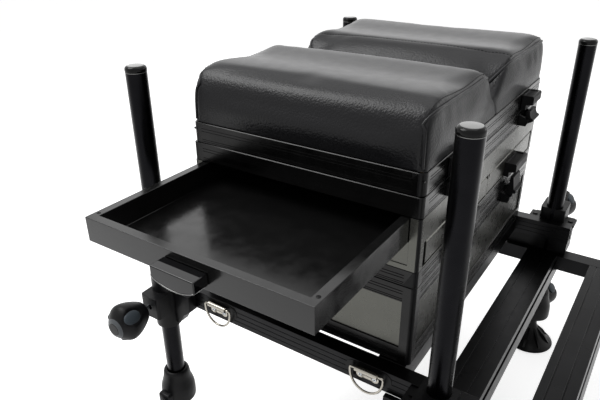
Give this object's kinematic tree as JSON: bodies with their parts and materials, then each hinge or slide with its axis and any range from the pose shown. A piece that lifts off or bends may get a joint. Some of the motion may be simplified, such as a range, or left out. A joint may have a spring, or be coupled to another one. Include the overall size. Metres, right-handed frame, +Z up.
{
  "type": "fishing seat box",
  "caption": "Stacked trays and drawers under a split cushion, on a frame with clamped telescopic legs, swivelling mud feet and a slatted footplate in front.",
  "frame": {"origin": "middle of the whole outline, on the ground under the feet", "axes": "+Z up; -Y is the front, where the footplate and the latches are; the side drawer pulls out to -X"},
  "size_m": [0.8932, 0.892, 0.67],
  "materials": {
    "panel_grey": "satin anodised",
    "rail_black": "black anodised, satin",
    "leg_black": "black anodised, satin",
    "sheet_black": "black powder coat, semi-gloss",
    "plastic_gloss": "glossy black",
    "clamp_black": "satin black moulded, glass-filled nylon",
    "plastic_black": "satin black moulded",
    "leatherette": "pebbled imitation leather",
    "board_ply": "plain plywood",
    "nickel": "nickel plated"
  },
  "bodies": {
    "frame": {"base_box": "panel_grey", "side_beam_left": "rail_black", "side_beam_right": "rail_black", "cross_beam_front": "rail_black", "cross_beam_rear": "rail_black", "leg_clamp_front_left": "clamp_black", "leg_clamp_rear_left": "clamp_black", "leg_clamp_front_right": "clamp_black", "leg_clamp_rear_right": "clamp_black", "footplate_frame": "rail_black", "footplate_board_1": "rail_black", "footplate_board_2": "rail_black", "strap_plate_front": "nickel", "strap_plate_rear": "nickel"},
    "middle_tray": {"mid_tray": "rail_black"},
    "drawer_unit": {"drawer_cabinet": "panel_grey", "top_tray": "rail_black"},
    "seat": {"seat_frame": "rail_black", "seat_board": "board_ply", "seat_cushion": "leatherette", "seat_latch_keeper_left": "plastic_black", "seat_latch_keeper_right": "plastic_black"},
    "side_drawer": {"side_drawer": "sheet_black", "side_drawer_handle": "plastic_gloss"},
    "front_drawer_left": {"front_drawer_left": "panel_grey", "drawer_latch_keeper_left": "plastic_black"},
    "front_drawer_right": {"front_drawer_right": "panel_grey", "drawer_latch_keeper_right": "plastic_black"},
    "seat_latch_lever_left": {"seat_latch_lever_left": "plastic_black"},
    "drawer_latch_lever_left": {"drawer_latch_lever_left": "plastic_black"},
    "seat_latch_lever_right": {"seat_latch_lever_right": "plastic_black"},
    "drawer_latch_lever_right": {"drawer_latch_lever_right": "plastic_black"},
    "leg_front_left": {"leg_tube_front_left": "leg_black", "leg_cap_front_left": "plastic_gloss", "foot_socket_front_left": "plastic_black"},
    "mud_foot_front_left": {"mud_foot_front_left": "plastic_black"},
    "foot_knob_front_left": {"foot_knob_front_left": "plastic_black"},
    "leg_knob_front_left": {"leg_knob_front_left": "plastic_black"},
    "leg_rear_left": {"leg_tube_rear_left": "leg_black", "leg_cap_rear_left": "plastic_gloss", "foot_socket_rear_left": "plastic_black"},
    "mud_foot_rear_left": {"mud_foot_rear_left": "plastic_black"},
    "foot_knob_rear_left": {"foot_knob_rear_left": "plastic_black"},
    "leg_knob_rear_left": {"leg_knob_rear_left": "plastic_black"},
    "leg_front_right": {"leg_tube_front_right": "leg_black", "leg_cap_front_right": "plastic_gloss", "foot_socket_front_right": "plastic_black"},
    "mud_foot_front_right": {"mud_foot_front_right": "plastic_black"},
    "foot_knob_front_right": {"foot_knob_front_right": "plastic_black"},
    "leg_knob_front_right": {"leg_knob_front_right": "plastic_black"},
    "leg_rear_right": {"leg_tube_rear_right": "leg_black", "leg_cap_rear_right": "plastic_gloss", "foot_socket_rear_right": "plastic_black"},
    "mud_foot_rear_right": {"mud_foot_rear_right": "plastic_black"},
    "foot_knob_rear_right": {"foot_knob_rear_right": "plastic_black"},
    "leg_knob_rear_right": {"leg_knob_rear_right": "plastic_black"},
    "strap_ring_rear": {"strap_ring_rear": "nickel"},
    "strap_ring_front": {"strap_ring_front": "nickel"}
  },
  "joints": [
    {"name": "middle_tray_tilt", "type": "hinge", "parent": "frame", "child": "middle_tray", "pos_m": [0.04065, 0.345, 0.43215], "axis": [-1, 0, 0], "range_deg": [0, 30]},
    {"name": "drawer_unit_tilt", "type": "hinge", "parent": "middle_tray", "child": "drawer_unit", "pos_m": [0.04065, 0.345, 0.45615], "axis": [-1, 0, 0], "range_deg": [0, 40]},
    {"name": "seat_lid_open", "type": "hinge", "parent": "drawer_unit", "child": "seat", "pos_m": [0.04065, 0.345, 0.55815], "axis": [-1, 0, 0], "range_deg": [0, 85]},
    {"name": "side_drawer_slide", "type": "slide", "parent": "drawer_unit", "child": "side_drawer", "axis": [1, 0, 0], "range_m": [-0.09, 0.207]},
    {"name": "front_drawer_left_slide", "type": "slide", "parent": "drawer_unit", "child": "front_drawer_left", "axis": [0, -1, 0], "range_m": [0, 0.22]},
    {"name": "front_drawer_right_slide", "type": "slide", "parent": "drawer_unit", "child": "front_drawer_right", "axis": [0, -1, 0], "range_m": [0, 0.22]},
    {"name": "seat_latch_left", "type": "hinge", "parent": "drawer_unit", "child": "seat_latch_lever_left", "pos_m": [-0.11935, -0.0275, 0.539], "axis": [1, 0, 0], "range_deg": [0, 110]},
    {"name": "drawer_latch_left", "type": "hinge", "parent": "frame", "child": "drawer_latch_lever_left", "pos_m": [-0.07935, -0.0275, 0.414], "axis": [1, 0, 0], "range_deg": [0, 110]},
    {"name": "seat_latch_right", "type": "hinge", "parent": "drawer_unit", "child": "seat_latch_lever_right", "pos_m": [0.20065, -0.0275, 0.539], "axis": [1, 0, 0], "range_deg": [0, 110]},
    {"name": "drawer_latch_right", "type": "hinge", "parent": "frame", "child": "drawer_latch_lever_right", "pos_m": [0.16065, -0.0275, 0.414], "axis": [1, 0, 0], "range_deg": [0, 110]},
    {"name": "leg_front_left_slide", "type": "slide", "parent": "frame", "child": "leg_front_left", "axis": [0, 0, 1], "range_m": [-0.28, 0.06]},
    {"name": "mud_foot_front_left_tilt", "type": "hinge", "parent": "leg_front_left", "child": "mud_foot_front_left", "pos_m": [-0.25635, -0.076, 0.072], "axis": [0, 1, 0], "range_deg": [-15, 15]},
    {"name": "foot_knob_front_left_turn", "type": "hinge", "parent": "leg_front_left", "child": "foot_knob_front_left", "pos_m": [-0.25635, -0.076, 0.0765], "axis": [-1, 0, 0], "range_deg": [-360, 360]},
    {"name": "leg_knob_front_left_turn", "type": "hinge", "parent": "frame", "child": "leg_knob_front_left", "pos_m": [-0.25635, -0.076, 0.3], "axis": [-1, 0, 0], "range_deg": [-360, 360]},
    {"name": "leg_rear_left_slide", "type": "slide", "parent": "frame", "child": "leg_rear_left", "axis": [0, 0, 1], "range_m": [-0.28, 0.06]},
    {"name": "mud_foot_rear_left_tilt", "type": "hinge", "parent": "leg_rear_left", "child": "mud_foot_rear_left", "pos_m": [-0.25635, 0.397, 0.072], "axis": [0, 1, 0], "range_deg": [-15, 15]},
    {"name": "foot_knob_rear_left_turn", "type": "hinge", "parent": "leg_rear_left", "child": "foot_knob_rear_left", "pos_m": [-0.25635, 0.397, 0.0765], "axis": [-1, 0, 0], "range_deg": [-360, 360]},
    {"name": "leg_knob_rear_left_turn", "type": "hinge", "parent": "frame", "child": "leg_knob_rear_left", "pos_m": [-0.25635, 0.397, 0.286], "axis": [-1, 0, 0], "range_deg": [-360, 360]},
    {"name": "leg_front_right_slide", "type": "slide", "parent": "frame", "child": "leg_front_right", "axis": [0, 0, 1], "range_m": [-0.28, 0.06]},
    {"name": "mud_foot_front_right_tilt", "type": "hinge", "parent": "leg_front_right", "child": "mud_foot_front_right", "pos_m": [0.33765, -0.076, 0.072], "axis": [0, 1, 0], "range_deg": [-15, 15]},
    {"name": "foot_knob_front_right_turn", "type": "hinge", "parent": "leg_front_right", "child": "foot_knob_front_right", "pos_m": [0.33765, -0.076, 0.0765], "axis": [1, 0, 0], "range_deg": [-360, 360]},
    {"name": "leg_knob_front_right_turn", "type": "hinge", "parent": "frame", "child": "leg_knob_front_right", "pos_m": [0.33765, -0.076, 0.3], "axis": [1, 0, 0], "range_deg": [-360, 360]},
    {"name": "leg_rear_right_slide", "type": "slide", "parent": "frame", "child": "leg_rear_right", "axis": [0, 0, 1], "range_m": [-0.28, 0.06]},
    {"name": "mud_foot_rear_right_tilt", "type": "hinge", "parent": "leg_rear_right", "child": "mud_foot_rear_right", "pos_m": [0.33765, 0.397, 0.072], "axis": [0, 1, 0], "range_deg": [-15, 15]},
    {"name": "foot_knob_rear_right_turn", "type": "hinge", "parent": "leg_rear_right", "child": "foot_knob_rear_right", "pos_m": [0.33765, 0.397, 0.0765], "axis": [1, 0, 0], "range_deg": [-360, 360]},
    {"name": "leg_knob_rear_right_turn", "type": "hinge", "parent": "frame", "child": "leg_knob_rear_right", "pos_m": [0.33765, 0.397, 0.286], "axis": [1, 0, 0], "range_deg": [-360, 360]},
    {"name": "strap_ring_rear_swing", "type": "hinge", "parent": "frame", "child": "strap_ring_rear", "pos_m": [-0.2468, 0.293, 0.2995], "axis": [0, 1, 0], "range_deg": [-2, 170]},
    {"name": "strap_ring_front_swing", "type": "hinge", "parent": "frame", "child": "strap_ring_front", "pos_m": [-0.2468, 0.028, 0.2995], "axis": [0, 1, 0], "range_deg": [-2, 170]}
  ]
}
